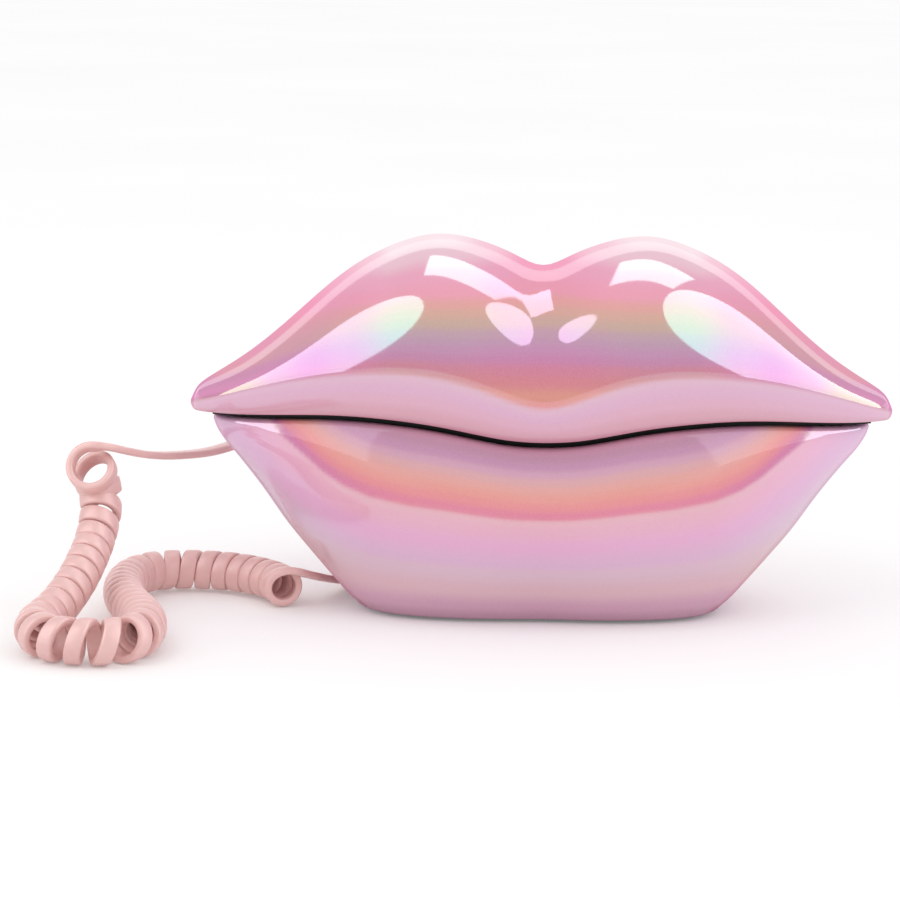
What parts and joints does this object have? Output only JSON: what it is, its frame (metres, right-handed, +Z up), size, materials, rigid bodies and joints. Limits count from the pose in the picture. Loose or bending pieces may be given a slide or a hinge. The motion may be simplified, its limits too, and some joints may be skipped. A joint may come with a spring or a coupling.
{
  "type": "novelty shaped telephone",
  "caption": "Corded table telephone shaped as closed lips: pearl pink upper lip handset with keypad beneath, lower lip base, pink curly cord.",
  "frame": {"origin": "on the standing surface, under the middle of the telephone's own box without the cord", "axes": "+X along the lips to the viewer's right, +Y to the back, +Z up"},
  "size_m": [0.2533, 0.1511, 0.1113],
  "materials": {
    "pearl_shell": "iridescent pearl lacquer over moulded shells",
    "black_plastic": "fine satin",
    "rubber": "matte",
    "steel": "zinc plated",
    "circuit_board": "solder mask",
    "ringer_brass": "satin",
    "jack_plastic": "moulded",
    "grey_plastic": "moulded",
    "silicone": "matte translucent grey",
    "key_plastic": "moulded, legends printed",
    "cord_pvc": "satin extruded PVC",
    "clear_plug": "clear moulded polycarbonate"
  },
  "bodies": {
    "base": {"base_shell": "pearl_shell", "bottom_cover": "black_plastic", "rubber_feet": "rubber", "bottom_screws": "steel", "cradle_tray": "black_plastic", "base_pcb": "circuit_board", "base_pcb_screws": "steel", "ringer": "ringer_brass", "base_weight": "steel", "line_jack": "jack_plastic", "base_handset_jack": "jack_plastic", "ringer_switch": "steel", "tone_switch": "steel", "hook_switch": "jack_plastic", "cord_coil": "cord_pvc", "cord_lead_handset": "cord_pvc", "cord_lead_base": "cord_pvc", "plug_base": "clear_plug"},
    "handset": {"handset_shell": "pearl_shell", "handset_face": "black_plastic", "handset_screws": "steel", "keypad_membrane": "silicone", "handset_pcb": "circuit_board", "handset_pcb_screws": "steel", "earpiece": "jack_plastic", "earpiece_gasket": "rubber", "microphone": "steel", "microphone_boot": "rubber", "handset_jack": "jack_plastic", "plug_handset": "clear_plug"},
    "hook_plunger": {"hook_plunger": "grey_plastic"},
    "ringer_knob": {"ringer_switch_knob": "jack_plastic"},
    "tone_knob": {"tone_switch_knob": "jack_plastic"},
    "key_1": {"key_1": "key_plastic"},
    "key_2": {"key_2": "key_plastic"},
    "key_3": {"key_3": "key_plastic"},
    "key_4": {"key_4": "key_plastic"},
    "key_5": {"key_5": "key_plastic"},
    "key_6": {"key_6": "key_plastic"},
    "key_7": {"key_7": "key_plastic"},
    "key_8": {"key_8": "key_plastic"},
    "key_9": {"key_9": "key_plastic"},
    "key_star": {"key_star": "key_plastic"},
    "key_0": {"key_0": "key_plastic"},
    "key_hash": {"key_hash": "key_plastic"},
    "key_redial": {"key_redial": "key_plastic"},
    "key_flash": {"key_flash": "key_plastic"},
    "key_mute": {"key_mute": "key_plastic"}
  },
  "joints": [
    {"name": "handset_lift", "type": "slide", "parent": "base", "child": "handset", "axis": [0, 0, 1], "range_m": [0, 0.12]},
    {"name": "hook_plunger_travel", "type": "slide", "parent": "base", "child": "hook_plunger", "axis": [0, 0, 1], "range_m": [0, 0.003]},
    {"name": "ringer_switch_slide", "type": "slide", "parent": "base", "child": "ringer_knob", "axis": [1, 0, 0], "range_m": [0, 0.004]},
    {"name": "tone_switch_slide", "type": "slide", "parent": "base", "child": "tone_knob", "axis": [1, 0, 0], "range_m": [0, 0.004]},
    {"name": "key_1_press", "type": "slide", "parent": "handset", "child": "key_1", "axis": [0, 0, 1], "range_m": [0, 0.0015], "stiffness_N_per_m": 300, "springref_m": -0.001},
    {"name": "key_2_press", "type": "slide", "parent": "handset", "child": "key_2", "axis": [0, 0, 1], "range_m": [0, 0.0015], "stiffness_N_per_m": 300, "springref_m": -0.001},
    {"name": "key_3_press", "type": "slide", "parent": "handset", "child": "key_3", "axis": [0, 0, 1], "range_m": [0, 0.0015], "stiffness_N_per_m": 300, "springref_m": -0.001},
    {"name": "key_4_press", "type": "slide", "parent": "handset", "child": "key_4", "axis": [0, 0, 1], "range_m": [0, 0.0015], "stiffness_N_per_m": 300, "springref_m": -0.001},
    {"name": "key_5_press", "type": "slide", "parent": "handset", "child": "key_5", "axis": [0, 0, 1], "range_m": [0, 0.0015], "stiffness_N_per_m": 300, "springref_m": -0.001},
    {"name": "key_6_press", "type": "slide", "parent": "handset", "child": "key_6", "axis": [0, 0, 1], "range_m": [0, 0.0015], "stiffness_N_per_m": 300, "springref_m": -0.001},
    {"name": "key_7_press", "type": "slide", "parent": "handset", "child": "key_7", "axis": [0, 0, 1], "range_m": [0, 0.0015], "stiffness_N_per_m": 300, "springref_m": -0.001},
    {"name": "key_8_press", "type": "slide", "parent": "handset", "child": "key_8", "axis": [0, 0, 1], "range_m": [0, 0.0015], "stiffness_N_per_m": 300, "springref_m": -0.001},
    {"name": "key_9_press", "type": "slide", "parent": "handset", "child": "key_9", "axis": [0, 0, 1], "range_m": [0, 0.0015], "stiffness_N_per_m": 300, "springref_m": -0.001},
    {"name": "key_star_press", "type": "slide", "parent": "handset", "child": "key_star", "axis": [0, 0, 1], "range_m": [0, 0.0015], "stiffness_N_per_m": 300, "springref_m": -0.001},
    {"name": "key_0_press", "type": "slide", "parent": "handset", "child": "key_0", "axis": [0, 0, 1], "range_m": [0, 0.0015], "stiffness_N_per_m": 300, "springref_m": -0.001},
    {"name": "key_hash_press", "type": "slide", "parent": "handset", "child": "key_hash", "axis": [0, 0, 1], "range_m": [0, 0.0015], "stiffness_N_per_m": 300, "springref_m": -0.001},
    {"name": "key_redial_press", "type": "slide", "parent": "handset", "child": "key_redial", "axis": [0, 0, 1], "range_m": [0, 0.0015], "stiffness_N_per_m": 300, "springref_m": -0.001},
    {"name": "key_flash_press", "type": "slide", "parent": "handset", "child": "key_flash", "axis": [0, 0, 1], "range_m": [0, 0.0015], "stiffness_N_per_m": 300, "springref_m": -0.001},
    {"name": "key_mute_press", "type": "slide", "parent": "handset", "child": "key_mute", "axis": [0, 0, 1], "range_m": [0, 0.0015], "stiffness_N_per_m": 300, "springref_m": -0.001}
  ],
  "couplings": [
    {"joint": "hook_plunger_travel", "follows": "handset_lift", "ratio": 0.025}
  ]
}
